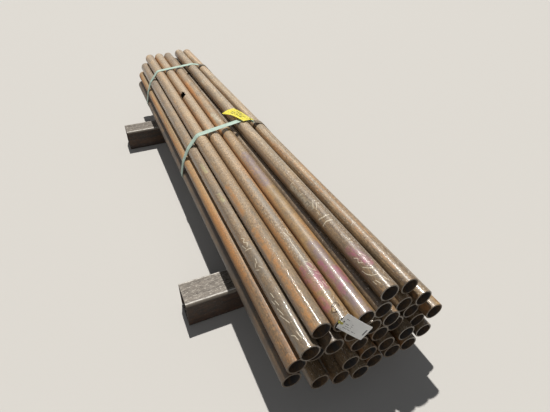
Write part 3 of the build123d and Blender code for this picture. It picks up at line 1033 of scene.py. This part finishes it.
# The wire goes from inside the pipe through the eyelet and is twisted back over the pipe
def tagWire(place, eyelet):
    look = wireLook
    bright, dull = wireMaterial("bright"), wireMaterial("dull")
    frameOf = pipeObjects["pipe_top_2"].matrix_world

    def onPipe(degrees, along, radius):
        a = radians(degrees)
        return frameOf @ Vector((radius * sin(a), along, radius * cos(a)))

    levels = {"top": pipeSize["outer"] + look["above"], "bore": pipeSize["inner"] - look["below"]}
    route = []
    for where, a, b, c in look["route"]:
        if where == "tag":
            route.append(place @ Vector((eyelet[0] + a, b, c)))
        else:
            route.append(onPipe(a, b, levels[where] + c))
    line = smoothPath(route, 14)
    strands = ([], [])
    for k, point in enumerate(line):
        tangent = (line[min(k + 1, len(line) - 1)] - line[max(k - 1, 0)]).normalized()
        first = tangent.cross(Vector((0.3, 0.2, 1))).normalized()
        second = tangent.cross(first)
        angle = k * look["twist"]
        offset = (first * cos(angle) + second * sin(angle)) * look["apart"]
        strands[0].append(point + offset)
        strands[1].append(point - offset)
    for index, strand in enumerate(strands):
        addWire("tag_wire_" + str(index), strand, look["strand"], bright, "paper_tag_wire")
    for index, points in enumerate(look["ends"]):
        path = smoothPath([onPipe(a, s, pipeSize["outer"] + h) for a, s, h in points])
        addWire("tag_wire_end_" + str(index), path, look["end"], dull, "paper_tag_wire")


tapeLook = {
    "name": "yellow_tape", "slot": "tag_plastic", "material": "yellowTape", "segments": 60, "rings": 8,
    "length": 0.0135, "width": 0.0095, "corner": 0.0015, "thickness": 0.0003, "hole": 0.0011,
    "holeAt": (-0.001, 0.0005), "from": (-0.0045, -0.0065, 0.0022), "turn": 0.5,
    "sheet": ((0.62, 0.56, 0.08), (0.5, 0.48, 0.07)), "ink": (0.1, 0.08, 0.02), "rows": [(0, 1, 0, 0.1)],
    "rough": 0.4, "flecks": 0.4, "marks": (420, 150, 0), "creases": ((0.0012, 420), (0.0008, 500)),
    "fold": 25,
}


# A small bent scrap of yellow tape where the wire passes the tag's edge
def yellowPatch(place, eyelet):
    look = tapeLook

    def lift(x, y):
        (highX, manyX), (highY, manyY) = look["creases"]
        return highX * sin(x * manyX) + highY * cos(y * manyY) - look["fold"] * x * x

    x, y, z = look["from"]
    spot = place @ Matrix.Translation((eyelet[0] + x, y, z)) @ Matrix.Rotation(look["turn"], 4, "Z")
    addSheet(look, sheetMesh(look, look["holeAt"], lift), spot, "paper_tag_wire")


tagPlace, tagEyelet = whiteTag()
tagWire(tagPlace, tagEyelet)
yellowPatch(tagPlace, tagEyelet)
print("stage: white tag and wire")

# Rails: the CAD box tubes stay and get their rust
railLook = {
    "side": (0.024, 0.016, 0.012), "sideRust": (0.07, 0.034, 0.016), "top": (0.185, 0.158, 0.128),
    "topWorn": (0.64, 0.6, 0.53), "streak": (0.06, 0.046, 0.034), "edge": (0.85, 0.82, 0.76),
    "dirt": (0.035, 0.025, 0.018),
}
railNoise = {
    "long": ((1.6, 60, 60), 5, 0.62), "fine": ((60, 240, 240), 4, 0.68), "mottle": ((50, 75, 75), 6, 0.65),
    "speck": ((230, 230, 230), 4, 0.65), "grain": ((700, 700, 700), 3, 0.7),
    "chips": ((60, 200, 200), 4, 0.6),
}


def railMaterial():
    look = railLook
    material, surface, place = newMaterial("rustyRail")
    up = upward(place)
    long, fine, mottle, speck, grain, chips = (noise(place, *values) for values in railNoise.values())
    tone = long * 0.5 + mottle * 0.5
    # near black sides: dark rust and painted shade
    paintedShadeSides = blend(span(tone, 0.44, 0.6), look["side"], look["sideRust"])
    paintedShadeSides = blend(span(fine, 0.6, 0.7) * 0.18, paintedShadeSides, look["topWorn"])
    top = blend(span(tone, 0.4, 0.58), look["streak"], look["top"])
    top = blend(span(fine, 0.53, 0.66) * span(speck, 0.42, 0.6, 0.2, 1.0), top, look["topWorn"])
    top = blend(span(fine, 0.44, 0.34) * 0.7, top, look["streak"])
    color = blend(span(up, 0.1, 0.4), paintedShadeSides, look["top"])
    color = blend(span(up, 0.7, 0.9), color, top)
    # painted highlight along the rounded top edge, broken by chips
    paintedEdgeHighlight = span(up, 0.82, 0.9) * span(up, 0.995, 0.97) * span(chips, 0.4, 0.5, 0.3, 1.0)
    color = blend(paintedEdgeHighlight * 0.8, color, look["edge"])
    color = blend(span(speck, 0.4, 0.3) * 0.6, color, look["dirt"])
    color = shaded(color, span(grain, 0.3, 0.7, 0.75, 1.25))
    relief = bump(mottle * 0.7 + speck * 0.5, 0.5, 0.0008)
    feed(surface, Base_Color=color, Roughness=0.42 + speck * 0.35, Normal=relief)
    return material


railRust = railMaterial()
for name in ("rail_front", "rail_rear"):
    for slot in nodes[name].material_slots:
        slot.material = railRust
print("stage: rails")


# Camera where the photograph was taken, as fitted to the pipe ends
view = {
    "place": (-0.4966, -1.7357, 1.2673), "yaw": 24.47, "pitch": 37.28, "roll": 0.5, "focal": 402.65 / 550,
    "sensor": 36, "near": 0.05, "far": 60,
}


def setCamera():
    yaw, pitch, roll = (radians(view[k]) for k in ("yaw", "pitch", "roll"))
    look = Vector((sin(yaw) * cos(pitch), cos(yaw) * cos(pitch), -sin(pitch)))
    right = Vector((cos(yaw), -sin(yaw), 0))
    up = right.cross(look)
    right, up = right * cos(roll) + up * sin(roll), up * cos(roll) - right * sin(roll)
    data = bpy.data.cameras.new("photoView")
    data.sensor_width = view["sensor"]
    data.lens = view["focal"] * view["sensor"]
    data.clip_start = view["near"]
    data.clip_end = view["far"]
    camera = addObject("photoView", data)
    camera.matrix_world = axesAt(view["place"], right, up, -look)
    bpy.context.scene.camera = camera


setCamera()

# Pale floor and light
lightLook = {
    "azimuth": 14.0, "height": 66.0, "sun": 4.1, "softness": 1.2, "sunColor": (1.0, 0.965, 0.91),
    "sky": 0.1, "skyColor": (0.9, 0.94, 1.0), "mirrored": 0.35,
    "fill": 0.45, "fillFrom": (-0.45, -0.8, 0.32), "fillSoftness": 70,
}
floorLook = {
    "pale": (0.54, 0.53, 0.51), "bounce": (0.26, 0.25, 0.225), "far": (0.7, 0.69, 0.67), "reach": 28,
}


# 1 for what the camera sees, straight or in part mirrored, and 0 for light that bounces on
def seenShare(tree, mirrored):
    rays = put(tree, "ShaderNodeLightPath")
    indirect = most(pick(rays, "Is Glossy Ray"), pick(rays, "Is Transmission Ray"))
    return most(pick(rays, "Is Camera Ray"), indirect * mirrored)


def addSun(name, energy, softness, toSun, color=(1.0, 1.0, 1.0)):
    light = bpy.data.lights.new(name, "SUN")
    light.energy = energy
    light.angle = radians(softness)
    light.color = color
    addObject(name, light).rotation_euler = toSun.to_track_quat("Z", "Y").to_euler()


def setStage():
    scene = bpy.context.scene
    r = floorLook["reach"]
    mesh = newMesh([(-r, -r, 0), (r, -r, 0), (r, r, 0), (-r, r, 0)], [(0, 1, 2, 3)])
    material, surface, place = newMaterial("paleFloor")
    color = blend(seenShare(place.tree, 1.0), floorLook["bounce"], floorLook["pale"])
    feed(surface, Base_Color=color, Roughness=0.9)
    floor = addObject("floor", mesh, material)
    az, el = radians(lightLook["azimuth"]), radians(lightLook["height"])
    toSun = Vector((sin(az) * cos(el), cos(az) * cos(el), sin(el)))
    addSun("keySun", lightLook["sun"], lightLook["softness"], toSun, lightLook["sunColor"])
    # a soft fill from low on the camera's left
    addSun("softFill", lightLook["fill"], lightLook["fillSoftness"], Vector(lightLook["fillFrom"]))
    world = bpy.data.worlds.new("softSky")
    world.use_nodes = True
    seen = seenShare(world.node_tree, lightLook["mirrored"])
    color = blend(seen, lightLook["skyColor"], floorLook["far"])
    strength = span(seen, 0.0, 1.0, lightLook["sky"], 1.0)
    feed(world.node_tree.nodes["Background"], Color=color, Strength=strength)
    scene.world = world
    scene.view_settings.view_transform = "Standard"


setStage()
print("stage: done")
